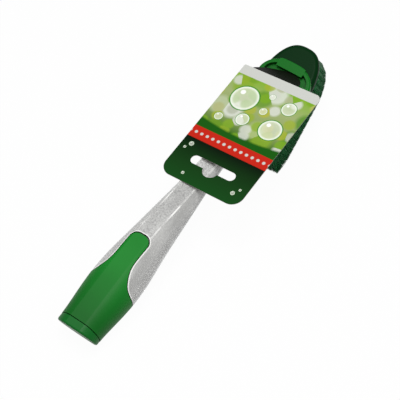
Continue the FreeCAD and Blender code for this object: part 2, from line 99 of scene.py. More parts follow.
def colour(name, description, hex_colour):
    """A colour property whose default is an sRGB hex colour."""
    return FloatVectorProperty(name=name, description=description, subtype="COLOR", size=3, min=0, max=1,
                               default=linear(hex_colour))


class WandSizes(bpy.types.PropertyGroup):
    """Sizes of what the dressing adds."""
    bristle_radius: FloatProperty(
        name="Bristle radius", description="Radius of one nylon bristle at its root", default=0.19 * MM, unit="LENGTH")
    outer_bristles: IntProperty(
        name="Outer bristles", description="Bristles drawn in each tuft of the outer ring", default=330, min=7)
    inner_bristles: IntProperty(
        name="Inner bristles", description="Bristles drawn in each tuft of the rings inside", default=150, min=7)
    tip_spread: FloatProperty(
        name="Tip spread",
        description="Spread of the bristles' tips across their ring, as a share of their tuft's end radius",
        default=1.05, min=0.5, max=2)
    tip_overlap: FloatProperty(
        name="Tip overlap",
        description="Spread of the bristles' tips along their ring, as a share of half the way to the next tuft",
        default=1.02, min=0.5, max=2)
    flare: FloatProperty(
        name="Flare", description="How soon bristles spread on their way down: 1 is even, less is sooner",
        default=0.45, min=0.2, max=2)
    corner_push: FloatProperty(
        name="Corner push", description="How far the tips spread past the outer tufts' tips at the head's rear corners",
        default=0.4 * MM, unit="LENGTH")
    thread_pitch: FloatProperty(
        name="Thread pitch", description="Rise of the cap's thread in one turn", default=3.0 * MM, unit="LENGTH")
    thread_height: FloatProperty(
        name="Thread height", description="Height of the cap's thread over its plug", default=0.2 * MM, unit="LENGTH")
    facet_half_width: FloatProperty(
        name="Facet half width", description="Half the width of the handle's frosted facet", default=5.4 * MM,
        unit="LENGTH")
    frost_grain: FloatProperty(
        name="Frost grain", description="Size of the frost's specks, coarser than the real ones so that they show",
        default=1.0 * MM, unit="LENGTH")
    edge_width: FloatProperty(
        name="Edge width", description="Width of the light line along moulded edges", default=0.9 * MM, unit="LENGTH")
    card_slot: FloatProperty(
        name="Slot place", description="Distance of the hanging slot from the card's end", default=17.6 * MM,
        unit="LENGTH")
    card_band: FloatProperty(
        name="Band start", description="Distance of the white band from the card's hanging end", default=89.4 * MM,
        unit="LENGTH")
    card_band_height: FloatProperty(
        name="Band height", description="Height of the white band, up to the start of the tab", default=7.55 * MM,
        unit="LENGTH")
    card_face: FloatProperty(
        name="Face height", description="Height over the card's back from which it is printed", default=0.42 * MM,
        unit="LENGTH")
    card_stripe: FloatProperty(
        name="Stripe start", description="Distance of the red stripe from the card's hanging end", default=31.2 * MM,
        unit="LENGTH")
    card_stripe_height: FloatProperty(
        name="Stripe height", description="Height of the red stripe", default=9.3 * MM, unit="LENGTH")
    card_picture: FloatProperty(
        name="Picture start", description="Distance of the picture from the card's hanging end", default=45.0 * MM,
        unit="LENGTH")
    dot_radius: FloatProperty(
        name="Dot radius", description="Radius of the white dots on the red stripe", default=1.1 * MM, unit="LENGTH")
    dot_pitch: FloatProperty(
        name="Dot pitch", description="Distance between the white dots", default=4.4 * MM, unit="LENGTH")


class WandColours(bpy.types.PropertyGroup):
    """Colours of the wand's plastics, rubbers and print."""
    clear: colour("Clear plastic", "Milky grey of the clear handle", "dadad8")
    clear_edge: colour("Clear edges", "Light caught along the clear handle's edges", "fbfbf8")
    grip: colour("Grip", "Soft green of the grip", "148026")
    cap: colour("Cap", "Green of the fill cap", "126624")
    foot: colour("Foot", "Bright green of the foot", "106a1c")
    plate: colour("Plate", "Dark green of the brush plate", "062d10")
    bristle: colour("Bristle", "Dark green of the bristles", "267a42")
    seal: colour("Seal", "Black of the seals", "17181a")
    silicone: colour("Silicone", "Milky white of the valve", "dcdcd6")
    print_white: colour("Print white", "White of the card's band and dots", "cccec8")
    print_red: colour("Print red", "Red of the card's stripe", "c4281a")
    print_green: colour("Print green", "Green of the strip over the stripe", "1c5a14")
    print_black: colour("Print black", "Near-black of the card's tab", "12140f")
    board: colour("Board", "Grey of the card's back and edges", "b3b1a8")


class WandStage(bpy.types.PropertyGroup):
    """Where the camera stands, told from the handle's own frame, and how white the room is."""
    azimuth: FloatProperty(
        name="Azimuth", description="Way to the camera round the handle, from its front", subtype="ANGLE",
        default=math.radians(223.04))
    elevation: FloatProperty(
        name="Elevation", description="Height of the camera over the handle's middle plane", subtype="ANGLE",
        default=math.radians(59.3))
    roll: FloatProperty(
        name="Roll", description="Turn of the camera about its own line of sight", subtype="ANGLE",
        default=math.radians(8.6))
    distance: FloatProperty(
        name="Distance", description="Distance from the camera to its target", default=734.4 * MM, unit="LENGTH")
    target: FloatProperty(
        name="Target", description="Distance of the target from the rear of the handle", default=118.94 * MM,
        unit="LENGTH")
    lens: FloatProperty(name="Lens", description="Focal length in millimetres", default=104.36, min=1)
    shift_x: FloatProperty(name="Shift right", description="Lens shift, as a share of the picture", default=0.0073)
    shift_y: FloatProperty(name="Shift up", description="Lens shift, as a share of the picture", default=-0.044)
    floor_white: FloatProperty(
        name="Floor white", description="Share of plain white in the floor, the rest being paper in light and shade",
        default=0.95, min=0, max=1)
    sky: FloatProperty(name="Sky", description="Strength of the plain white sky", default=0.28, min=0)


def add(tree, kind, inputs=(), stops=(), **settings):
    """Adds one shader node.

    Settings are its properties, stops are a ramp's places, hex colours and alphas, and inputs are values or
    sockets to link.
    """
    node = tree.nodes.new(kind)
    for name, value in settings.items():
        setattr(node, name, value)
    for number, (place, hex_colour, alpha) in enumerate(stops):
        elements = node.color_ramp.elements
        stop = elements[number] if number < 2 else elements.new(place)
        stop.position = place
        stop.color = (*linear(hex_colour), alpha)
    for name, value in dict(inputs).items():
        socket = node.inputs[name]
        if isinstance(value, bpy.types.NodeSocket):
            tree.links.new(value, socket)
        else:
            socket.default_value = value
    return node


def new_material(name):
    """An empty node material."""
    material = bpy.data.materials.new(name)
    material.use_nodes = True
    material.node_tree.nodes.clear()
    return material, material.node_tree


def finish_material(tree, shader):
    """Gives the shader to the material's output."""
    add(tree, "ShaderNodeOutputMaterial", {"Surface": shader.outputs["BSDF"]})


def rgba(value):
    """A colour with full alpha."""
    return (*value, 1.0)


def local_coordinates(tree, origin, pitch, roll=0.0):
    """Object coordinates turned into a frame of the wand, in metres."""
    place = add(tree, "ShaderNodeTexCoord")
    return add(tree, "ShaderNodeMapping",
               {"Vector": place.outputs["Object"], "Location": tuple(origin), "Rotation": (roll, -pitch, 0)},
               vector_type="TEXTURE").outputs["Vector"]


def dress(node, material):
    """Puts one material on a CAD node."""
    mesh = nodes[node].data
    mesh.materials.clear()
    mesh.materials.append(material)


def mesh_piece(name, vertices, faces, material, body, shades=None):
    """A new piece from arrays of points and triangles, smooth, riding on a body."""
    mesh = bpy.data.meshes.new(name)
    mesh.from_pydata(vertices.reshape(-1, 3), [], faces)
    mesh.polygons.foreach_set("use_smooth", np.ones(len(mesh.polygons), bool))
    if shades is not None:
        attribute = mesh.attributes.new("shade", "FLOAT", "POINT")
        attribute.data.foreach_set("value", shades.ravel().astype(np.float32))
    mesh.materials.append(material)
    mesh.update()
    piece = bpy.data.objects.new(name, mesh)
    bpy.context.scene.collection.objects.link(piece)
    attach(piece, body)
    return piece


def grid_faces(count_u, count_v):
    """Triangles of a grid of points that is closed in its second direction and open in its first."""
    u, v = np.meshgrid(np.arange(count_u - 1), np.arange(count_v), indexing="ij")
    a = u * count_v + v
    b = u * count_v + (v + 1) % count_v
    c = b + count_v
    d = a + count_v
    return np.concatenate([np.stack([a, b, c], -1).reshape(-1, 3), np.stack([a, c, d], -1).reshape(-1, 3)])


def edge_lines(tree, width):
    """One along moulded edges and zero on open faces.

    It tells how far the normal rounded over a width leaves the face's own, by the cosine of the angle between them.
    """
    rounded = add(tree, "ShaderNodeBevel", {"Radius": width}, samples=16)
    face = add(tree, "ShaderNodeNewGeometry")
    turned = add(tree, "ShaderNodeVectorMath", {0: rounded.outputs["Normal"], 1: face.outputs["Normal"]},
                 operation="DOT_PRODUCT")
    return add(tree, "ShaderNodeMapRange", {
        "Value": turned.outputs["Value"], "From Min": 0.985, "From Max": 0.87}).outputs[0]


def clear_styrene(sizes, colours):
    """Injection-moulded styrene, frosted by its tool.

    It is milky grey and half clear, specked with frost on the top facet, and carries light along its edges.
    """
    material, tree = new_material("frosted clear styrene")
    local = local_coordinates(tree, handle_rear, handle_pitch)
    parts = add(tree, "ShaderNodeSeparateXYZ", {"Vector": local})
    across = add(tree, "ShaderNodeMath", {0: parts.outputs["Y"]}, operation="ABSOLUTE")
    # Frost covers the facet on top and nothing lower than 3 mm over the handle's axis
    facet = add(tree, "ShaderNodeMapRange", {
        "Value": across.outputs[0], "From Min": sizes.facet_half_width + 0.2 * MM,
        "From Max": sizes.facet_half_width - 0.6 * MM})
    above = add(tree, "ShaderNodeMapRange", {"Value": parts.outputs["Z"], "From Min": 3 * MM, "From Max": 5 * MM})
    frost = add(tree, "ShaderNodeMath", {0: facet.outputs[0], 1: above.outputs[0]}, operation="MULTIPLY")
    grain = add(tree, "ShaderNodeTexNoise", {
        "Vector": local, "Scale": 1 / sizes.frost_grain, "Detail": 2.0, "Roughness": 0.6})
    depth = add(tree, "ShaderNodeMapRange", {"Value": frost.outputs[0], "To Min": 0.1, "To Max": 0.7})
    specks = add(tree, "ShaderNodeMapRange", {
        "Value": grain.outputs["Fac"], "From Min": 0.3, "From Max": 0.7, "To Min": -0.5, "To Max": 0.5})
    white = add(tree, "ShaderNodeMapRange", {"Value": frost.outputs[0], "To Min": 1.12, "To Max": 1.06})
    speck_tone = add(tree, "ShaderNodeMath", {0: specks.outputs[0], 1: depth.outputs[0], 2: white.outputs[0]},
                     operation="MULTIPLY_ADD")
    # Painted sheen and shade: the milk is lighter and darker in streaks about 7 mm wide and 40 mm long along the
    # handle, standing in for glassy highlights
    flow = add(tree, "ShaderNodeVectorMath", {0: local, 1: (0.18, 1, 1)}, operation="MULTIPLY")
    cloud = add(tree, "ShaderNodeTexNoise", {
        "Vector": flow.outputs["Vector"], "Scale": 1 / (7 * MM), "Detail": 2.0})
    streak_sheen = add(tree, "ShaderNodeMapRange", {
        "Value": cloud.outputs["Fac"], "From Min": 0.25, "From Max": 0.75, "To Min": 0.82, "To Max": 1.14})
    tone = add(tree, "ShaderNodeMath", {0: speck_tone.outputs[0], 1: streak_sheen.outputs[0]}, operation="MULTIPLY")
    # Painted shade: hidden places in the seams round the grip, whose tongue ends before 88 mm, are darkened, made
    # opaque and lose the light along their edges, but not under the card
    hidden = add(tree, "ShaderNodeAmbientOcclusion", {"Distance": 2.5 * MM}, samples=8)
    unshaded_share = add(tree, "ShaderNodeMapRange", {
        "Value": hidden.outputs["AO"], "From Min": 0.4, "From Max": 0.62, "To Min": 0.02})
    past_grip = add(tree, "ShaderNodeMapRange", {
        "Value": parts.outputs["X"], "From Min": 88 * MM, "From Max": 96 * MM})
    unshaded_share = add(tree, "ShaderNodeMath", {0: unshaded_share.outputs[0], 1: past_grip.outputs[0]}, operation="MAXIMUM")
    tone = add(tree, "ShaderNodeMath", {0: tone.outputs[0], 1: unshaded_share.outputs[0]}, operation="MULTIPLY")
    milk = add(tree, "ShaderNodeVectorMath", {0: colours.clear, "Scale": tone.outputs[0]}, operation="SCALE")
    # The facet's two ridges catch light in broken lines a few millimetres long
    on_ridge = add(tree, "ShaderNodeMath", {
        0: across.outputs[0], 1: sizes.facet_half_width, 2: 0.5 * sizes.edge_width}, operation="COMPARE")
    broken = add(tree, "ShaderNodeTexNoise", {"Vector": local, "Scale": 1 / (11 * MM), "Detail": 4.0})
    glint = add(tree, "ShaderNodeMapRange", {"Value": broken.outputs["Fac"], "From Min": 0.38, "From Max": 0.62})
    ridge = add(tree, "ShaderNodeMath", {0: on_ridge.outputs[0], 1: glint.outputs[0]}, operation="MULTIPLY")
    ridge = add(tree, "ShaderNodeMath", {0: ridge.outputs[0], 1: above.outputs[0]}, operation="MULTIPLY")
    edges = add(tree, "ShaderNodeMath", {0: ridge.outputs[0], 1: edge_lines(tree, 2 * sizes.edge_width)},
                operation="MAXIMUM")
    edges = add(tree, "ShaderNodeMath", {0: edges.outputs[0], 1: unshaded_share.outputs[0]}, operation="MULTIPLY")
    shown = add(tree, "ShaderNodeMix", {
        "Factor": edges.outputs[0], "A": milk.outputs[0], "B": rgba(colours.clear_edge)}, data_type="RGBA")
    see_through = add(tree, "ShaderNodeMapRange", {"Value": edges.outputs[0], "To Min": 0.4, "To Max": 0.0})
    see_through = add(tree, "ShaderNodeMath", {0: see_through.outputs[0], 1: unshaded_share.outputs[0]}, operation="MULTIPLY")
    rough = add(tree, "ShaderNodeMapRange", {"Value": frost.outputs[0], "To Min": 0.18, "To Max": 0.42})
    dents = add(tree, "ShaderNodeMath", {0: grain.outputs["Fac"], 1: frost.outputs[0]}, operation="MULTIPLY")
    bump = add(tree, "ShaderNodeBump", {"Height": dents.outputs[0], "Strength": 0.3, "Distance": 0.2 * MM})
    shader = add(tree, "ShaderNodeBsdfPrincipled", {
        "Base Color": shown.outputs["Result"], "Roughness": rough.outputs[0], "IOR": 1.57,
        "Transmission Weight": see_through.outputs[0], "Normal": bump.outputs["Normal"]})
    finish_material(tree, shader)
    return material


def soft_elastomer(colours):
    """Overmoulded thermoplastic elastomer: satin, with a fine matt grain and slightly uneven colour."""
    material, tree = new_material("thermoplastic elastomer")
    place = local_coordinates(tree, handle_rear, handle_pitch)
    grain = add(tree, "ShaderNodeTexNoise", {"Vector": place, "Scale": 1 / (0.5 * MM), "Detail": 2.0})
    cloud = add(tree, "ShaderNodeTexNoise", {"Vector": place, "Scale": 1 / (22 * MM), "Detail": 2.0})
    tone = add(tree, "ShaderNodeMapRange", {"Value": cloud.outputs["Fac"], "To Min": 0.88, "To Max": 1.12})
    # Painted shade: the colour darkens towards the rear, where less light falls
    parts = add(tree, "ShaderNodeSeparateXYZ", {"Vector": place})
    depth = add(tree, "ShaderNodeMapRange", {
        "Value": parts.outputs["X"], "From Min": 4 * MM, "From Max": 42 * MM, "To Min": 0.58, "To Max": 0.98})
    tone = add(tree, "ShaderNodeMath", {0: tone.outputs[0], 1: depth.outputs[0]}, operation="MULTIPLY")
    shade = add(tree, "ShaderNodeVectorMath", {0: colours.grip, "Scale": tone.outputs[0]}, operation="SCALE")
    bump = add(tree, "ShaderNodeBump", {"Height": grain.outputs["Fac"], "Strength": 0.12, "Distance": 0.05 * MM})
    rough = add(tree, "ShaderNodeMapRange", {"Value": grain.outputs["Fac"], "To Min": 0.46, "To Max": 0.56})
    shader = add(tree, "ShaderNodeBsdfPrincipled", {
        "Base Color": shade.outputs[0], "Roughness": rough.outputs[0], "IOR": 1.5, "Specular IOR Level": 0.18,
        "Normal": bump.outputs["Normal"]})
    finish_material(tree, shader)
    return material


def moulded_plastic(name, base, rough_low, rough_high, grain_mm, gloss):
    """Injection-moulded polypropylene: even colour with faint flow marks, fine mould grain, deep hollows darkened as
    painted shade and edges lightened as a painted highlight.
    """
    material, tree = new_material(name)
    place = add(tree, "ShaderNodeTexCoord").outputs["Object"]
    grain = add(tree, "ShaderNodeTexNoise", {"Vector": place, "Scale": 1 / (grain_mm * MM), "Detail": 2.0})
    flow = add(tree, "ShaderNodeTexNoise", {"Vector": place, "Scale": 1 / (16 * MM), "Detail": 3.0})
    tone = add(tree, "ShaderNodeMapRange", {"Value": flow.outputs["Fac"], "To Min": 0.9, "To Max": 1.1})
    shade = add(tree, "ShaderNodeVectorMath", {0: base, "Scale": tone.outputs[0]}, operation="SCALE")
    # Painted shade: deep hollows are darkened
    hidden = add(tree, "ShaderNodeAmbientOcclusion", {"Distance": 6 * MM}, samples=8)
    unshaded_share = add(tree, "ShaderNodeMapRange", {
        "Value": hidden.outputs["AO"], "From Min": 0.25, "From Max": 0.6, "To Min": 0.1})
    shade = add(tree, "ShaderNodeVectorMath", {0: shade.outputs[0], "Scale": unshaded_share.outputs[0]}, operation="SCALE")
    # Painted highlight: moulded edges are lighter
    painted_edge_highlight = add(tree, "ShaderNodeVectorMath", {0: shade.outputs[0], "Scale": 1.35}, operation="SCALE")
    shown = add(tree, "ShaderNodeMix", {
        "Factor": edge_lines(tree, 0.4 * MM), "A": shade.outputs[0], "B": painted_edge_highlight.outputs[0]}, data_type="RGBA")
    rough = add(tree, "ShaderNodeMapRange", {
        "Value": grain.outputs["Fac"], "To Min": rough_low, "To Max": rough_high})
    bump = add(tree, "ShaderNodeBump", {
        "Height": grain.outputs["Fac"], "Strength": 0.15, "Distance": 0.03 * MM})
    shader = add(tree, "ShaderNodeBsdfPrincipled", {
        "Base Color": shown.outputs["Result"], "Roughness": rough.outputs[0], "IOR": 1.49,
        "Specular IOR Level": gloss, "Normal": bump.outputs["Normal"]})
    finish_material(tree, shader)
    return material


def nylon_bristle(colours):
    """Extruded nylon filament: satin, each bristle a little lighter or darker than the next."""
    material, tree = new_material("nylon bristle")
    # The shade attribute carries each bristle's own tone and a painted lightening towards its tip
    shade = add(tree, "ShaderNodeAttribute", attribute_name="shade")
    tone = add(tree, "ShaderNodeMapRange", {"Value": shade.outputs["Fac"], "To Min": 0.8, "To Max": 1.2})
    tint = add(tree, "ShaderNodeVectorMath", {0: colours.bristle, "Scale": tone.outputs[0]}, operation="SCALE")
    shader = add(tree, "ShaderNodeBsdfPrincipled", {
        "Base Color": tint.outputs[0], "Roughness": 0.45, "IOR": 1.53, "Specular IOR Level": 0.06})
    finish_material(tree, shader)
    return material


def rubber(name, base, roughness, transmission):
    """Moulded rubber: matt, with a fine dusty grain."""
    material, tree = new_material(name)
    place = add(tree, "ShaderNodeTexCoord").outputs["Object"]
    grain = add(tree, "ShaderNodeTexNoise", {"Vector": place, "Scale": 1 / (0.3 * MM), "Detail": 2.0})
    rough = add(tree, "ShaderNodeMapRange", {
        "Value": grain.outputs["Fac"], "To Min": roughness - 0.08, "To Max": roughness + 0.08})
    bump = add(tree, "ShaderNodeBump", {"Height": grain.outputs["Fac"], "Strength": 0.1, "Distance": 0.02 * MM})
    shader = add(tree, "ShaderNodeBsdfPrincipled", {
        "Base Color": rgba(base), "Roughness": rough.outputs[0], "IOR": 1.45, "Transmission Weight": transmission,
        "Normal": bump.outputs["Normal"]})
    finish_material(tree, shader)
    return material


def ink_past(tree, below, ink, place, edge, soft=0.2 * MM):
    """Prints an ink over what is below where a place lies past an edge, with a step as soft as the print's dots."""
    mask = add(tree, "ShaderNodeMapRange", {"Value": place, "From Min": edge - soft, "From Max": edge + soft})
    mix = add(tree, "ShaderNodeMix", {"Factor": mask.outputs[0], "A": below, "B": ink}, data_type="RGBA")
    return mix.outputs["Result"]


def blurred_lights(tree, below, flat, spacing, stops):
    """Prints out-of-focus lights: one soft disc in each cell of a random net, each with a colour of its own."""
    net = add(tree, "ShaderNodeTexVoronoi", {"Vector": flat, "Scale": 1 / spacing}, voronoi_dimensions="2D")
    tint = add(tree, "ShaderNodeValToRGB", {"Fac": net.outputs["Color"]}, stops=stops)
    disc = add(tree, "ShaderNodeMapRange", {
        "Value": net.outputs["Distance"], "From Min": 0.5, "From Max": 0.32, "To Max": 0.8})
    mix = add(tree, "ShaderNodeMix", {"Factor": disc.outputs[0], "A": below, "B": tint.outputs["Color"]},
              data_type="RGBA")
    return mix.outputs["Result"]


def bubble(tree, below, flat, x, y, radius):
    """Prints a soap bubble: almost clear, with a pale shell, a green line round it and a glint at its upper left."""
    shell = ((0.0, "f4f8ec", 0.35), (0.7, "eef4e2", 0.5), (0.88, "f6faf0", 0.95), (0.93, "4f9a34", 0.95),
             (0.98, "2f7a22", 0.9), (1.0, "2f7a22", 0.0))
    glint = ((0.0, "ffffff", 0.95), (0.7, "ffffff", 0.9), (1.0, "ffffff", 0.0))
    for forward, left, reach, stops in ((0, 0, 1, shell), (0.36, 0.36, 0.2, glint)):
        middle = (x + forward * radius, y + left * radius, 0)
        away = add(tree, "ShaderNodeVectorMath", {0: flat, 1: middle}, operation="DISTANCE")
        share = add(tree, "ShaderNodeMath", {0: away.outputs["Value"], 1: reach * radius}, operation="DIVIDE")
        ink = add(tree, "ShaderNodeValToRGB", {"Fac": share.outputs[0]}, stops=stops)
        mix = add(tree, "ShaderNodeMix", {"Factor": ink.outputs["Alpha"], "A": below, "B": ink.outputs["Color"]},
                  data_type="RGBA")
        below = mix.outputs["Result"]
    return below


def printed_card(sizes, colours):
    """Coated paperboard, offset printed and varnished: bright soft-gloss print on its face, grey board elsewhere."""
    material, tree = new_material("coated paperboard")
    end = np.array(mounts["hang_slot"]["pos_m"]) - handle_x * sizes.card_slot
    local = local_coordinates(tree, end, handle_pitch, card_roll)
    flat = add(tree, "ShaderNodeVectorMath", {0: local, 1: (1, 1, 0)}, operation="MULTIPLY").outputs["Vector"]
    parts = add(tree, "ShaderNodeSeparateXYZ", {"Vector": local})
    along = parts.outputs["X"]
    stripe_top = sizes.card_stripe + sizes.card_stripe_height

    share = add(tree, "ShaderNodeMath", {0: along, 1: sizes.card_stripe}, operation="DIVIDE")
    ground = add(tree, "ShaderNodeValToRGB", {"Fac": share.outputs[0]}, stops=(
        (0.0, "17491b", 1), (0.35, "174018", 1), (0.75, "123012", 1), (1.0, "0b170c", 1)))
    height = add(tree, "ShaderNodeMapRange", {
        "Value": along, "From Min": sizes.card_picture, "From Max": sizes.card_band})
    field = add(tree, "ShaderNodeValToRGB", {"Fac": height.outputs[0]}, stops=(
        (0.0, "3f6f1c", 1), (0.3, "8fa262", 1), (0.65, "9fae74", 1), (1.0, "84b032", 1)))
    picture = blurred_lights(tree, field.outputs["Color"], flat, 17 * MM, (
        (0.2, "4f8a1c", 1), (0.42, "a2be38", 1), (0.58, "c2c9b4", 1), (0.8, "dfe2da", 1)))
    picture = blurred_lights(tree, picture, flat, 9.5 * MM, (
        (0.25, "7aa828", 1), (0.5, "b4b43c", 1), (0.62, "aeb49e", 1), (0.8, "d9dcd2", 1)))

    # The picture's lower edge curves up towards the card's sides, by the curve times the way from the middle squared
    curve = 3.0
    bend = add(tree, "ShaderNodeMath", {0: parts.outputs["Y"], 1: parts.outputs["Y"]}, operation="MULTIPLY")
    hill = add(tree, "ShaderNodeMath", {0: bend.outputs[0], 1: -curve, 2: along}, operation="MULTIPLY_ADD")
    inks = ink_past(tree, ground.outputs["Color"], rgba(colours.print_red), along, sizes.card_stripe)
    inks = ink_past(tree, inks, rgba(colours.print_green), along, stripe_top)
    inks = ink_past(tree, inks, picture, hill.outputs[0], sizes.card_picture, 0.8 * MM)
    for x, y, radius in CARD_BUBBLES:
        inks = bubble(tree, inks, flat, x * MM, y * MM, radius * MM)
    inks = ink_past(tree, inks, rgba(colours.print_white), along, sizes.card_band)

    # A row of white dots along the stripe
    beside = add(tree, "ShaderNodeMath", {0: parts.outputs["Y"], 1: 0.5 * sizes.dot_pitch}, operation="PINGPONG")
    rise = add(tree, "ShaderNodeMath", {0: along, 1: sizes.card_stripe + 0.5 * sizes.card_stripe_height},
               operation="SUBTRACT")
    spot = add(tree, "ShaderNodeCombineXYZ", {"X": rise.outputs[0], "Y": beside.outputs[0]})
    away = add(tree, "ShaderNodeVectorMath", {0: spot.outputs[0]}, operation="LENGTH")
    inside = add(tree, "ShaderNodeMath", {0: sizes.dot_radius, 1: away.outputs["Value"]}, operation="SUBTRACT")
    inks = ink_past(tree, inks, rgba(colours.print_white), inside.outputs[0], 0.0)

    fibre = add(tree, "ShaderNodeTexNoise", {"Vector": local, "Scale": 1 / (0.8 * MM), "Detail": 3.0})
    flecks = add(tree, "ShaderNodeMapRange", {"Value": fibre.outputs["Fac"], "To Min": 0.8, "To Max": 1.15})
    board = add(tree, "ShaderNodeVectorMath", {0: colours.board, "Scale": flecks.outputs[0]}, operation="SCALE")
    shown = ink_past(tree, board.outputs[0], inks, parts.outputs["Z"], sizes.card_face, 0.04 * MM)
    tab = sizes.card_band + sizes.card_band_height
    shown = ink_past(tree, shown, rgba(colours.print_black), along, tab, 0.05 * MM)
    bump = add(tree, "ShaderNodeBump", {"Height": fibre.outputs["Fac"], "Strength": 0.06, "Distance": 0.03 * MM})
    shader = add(tree, "ShaderNodeBsdfPrincipled", {
        "Base Color": shown, "Roughness": 0.5, "IOR": 1.5, "Specular IOR Level": 0.03,
        "Normal": bump.outputs["Normal"]})
    finish_material(tree, shader)
    return material


def tuft_axes(node):
    """Root and tip centres of each tuft of a CAD node, with its root and tip radius.

    A tuft's root points lie above its middle along the plate's upward way and its tip points below it, and a centre
    is the middle of the extremes of such points.
    """
    mesh = nodes[node].data
    points = np.empty(3 * len(mesh.vertices))
    mesh.vertices.foreach_get("co", points)
    corners = np.empty(3 * len(mesh.polygons), int)
    mesh.polygons.foreach_get("vertices", corners)
    tufts = points.reshape(-1, 3)[corners].reshape(-1, 3 * TUFT_TRIANGLES, 3)
    height = tufts @ plate_z
    middle = 0.5 * (height.min(1) + height.max(1))
    upper = (height > middle[:, None])[:, :, None]
    ends = []
    for chosen in (upper, ~upper):
        low = np.where(chosen, tufts, np.inf).min(1)
        high = np.where(chosen, tufts, -np.inf).max(1)
        ends.append(0.5 * (low + high))
        ends.append(0.5 * (high - low)[:, 1])
    return ends


def ring_steps(tip, push):
    """Ways from each tip of a ring of tufts to where its bristles meet those of the tip after and the tip before.

    They meet half way, but where the ring turns into the head's rear row of two tufts or more they meet in the corner:
    at the rearmost place of any tip and the outermost place of any tip, each pushed out a little.
    """
    after = 0.5 * (np.roll(tip, -1, 0) - tip)
    before = 0.5 * (np.roll(tip, 1, 0) - tip)
    along = tip @ plate_x
    beside = tip[:, 1] - handle_rear[1]
    same_row = 0.5 * MM
    rear_row = along < along.min() + same_row
    to_rear = along.min() - push - along
    to_side = np.sign(beside) * (np.abs(beside).max() + push) - beside
    corner = to_rear[:, None] * plate_x + to_side[:, None] * handle_y
    turns_after = rear_row != np.roll(rear_row, -1)
    turns_before = np.roll(turns_after, 1)
    if rear_row.sum() > 1:
        after[turns_after] = corner[turns_after]
        before[turns_before] = corner[turns_before]
    return after, before


def bristles(node, count, sizes, seed):
    """Points, triangles and shades of a node's bristles, a count of them in each tuft.

    Bristle k of a tuft starts on a sunflower spiral, radius sqrt(k / n) and turn k times the golden angle, as wide as
    the tuft's root. It ends on the same spiral stretched into a rectangle, which reaches the tufts beside it in the
    ring and is as wide as the spread of the tips, and whose outer way turns evenly from tuft to tuft. At a share t of
    its way down it has gone t ^ flare from the one place to the other, so that the tufts of a ring close up to a wall.
    Its section has three sides and thins to its tip, and its shade is painted lighter towards the tip, painted shade
    standing in for the shadow deep among the bristles near the plate.
    """
    rng = np.random.default_rng(seed)
    root, root_radius, tip, tip_radius = tuft_axes(node)
    tufts = len(root)
    k = np.arange(count) + 0.5
    turn = k * math.pi * (3 - math.sqrt(5)) + rng.uniform(0, 2 * math.pi, (tufts, 1))
    reach = np.sqrt(k / count) * rng.uniform(0.98, 1.02, (tufts, count))
    round_place = np.stack([np.cos(turn), np.sin(turn)], -1) * reach[..., None]
    square_place = round_place / np.maximum(np.abs(np.cos(turn)), np.abs(np.sin(turn)))[..., None]
    after, before = ring_steps(tip, sizes.corner_push)
    ring = (after - before) / np.linalg.norm(after - before, axis=1, keepdims=True)
    outward = np.cross(ring, plate_z)
    least_trim, most_trim = 0.2 * MM, 0.6 * MM
    tip = tip[:, None] + plate_z * rng.uniform(least_trim, most_trim, (tufts, count, 1))
    # Shares of a bristle's way down at which its sections stand
    t = np.array([0, 0.3, 1])
    axis = root[:, None, None] + (tip - root[:, None])[:, :, None] * t[:, None]
    start = round_place[..., :1] * ring[:, None] + round_place[..., 1:] * outward[:, None]
    start = start * (root_radius - sizes.bristle_radius)[:, None, None]
    ahead = np.linalg.norm(after, axis=1)[:, None, None]
    behind = np.linalg.norm(before, axis=1)[:, None, None]
    far = 0.5 * ((ahead + behind) * square_place[..., :1] + ahead - behind)
    share_after = np.maximum(far / ahead, 0)
    share_before = np.maximum(-far / behind, 0)
    end = share_after * after[:, None] + share_before * before[:, None]
    turn_after = 0.5 * (np.roll(outward, -1, 0) - outward)
    turn_before = 0.5 * (np.roll(outward, 1, 0) - outward)
    turned = outward[:, None] + share_after * turn_after[:, None] + share_before * turn_before[:, None]
    wide = sizes.tip_spread * tip_radius[:, None, None] * square_place[..., 1:]
    end = sizes.tip_overlap * end + wide * turned
    line = axis + start[:, :, None] + (end - start)[:, :, None] * (t ** sizes.flare)[:, None]
    sides = 3
    angle = np.arange(sides) * 2 * math.pi / sides
    section = np.cos(angle)[:, None] * plate_x + np.sin(angle)[:, None] * handle_y
    thinning = 0.2
    thickness = sizes.bristle_radius * (1 - thinning * t)
    points = line[:, :, :, None] + section * thickness[:, None, None]
    last = sides * len(t) - 1
    ends = [[0, 1, 2], [last, last - 1, last - 2]]
    one = np.concatenate([grid_faces(len(t), sides)[:, ::-1], ends])
    offsets = np.arange(tufts * count) * sides * len(t)
    faces = (one[None] + offsets[:, None, None]).reshape(-1, 3)
    # Each bristle's tone differs at random, and a painted lightening towards the tip leaves the roots in painted shade
    middle_shade, shade_spread, tip_painted_light = 0.5, 0.18, 0.1
    shade = rng.normal(middle_shade, shade_spread, (tufts, count, 1, 1)) + tip_painted_light * t[:, None]
    shades = np.broadcast_to(np.clip(shade, 0, 1), points.shape[:-1])
    return points, faces, shades


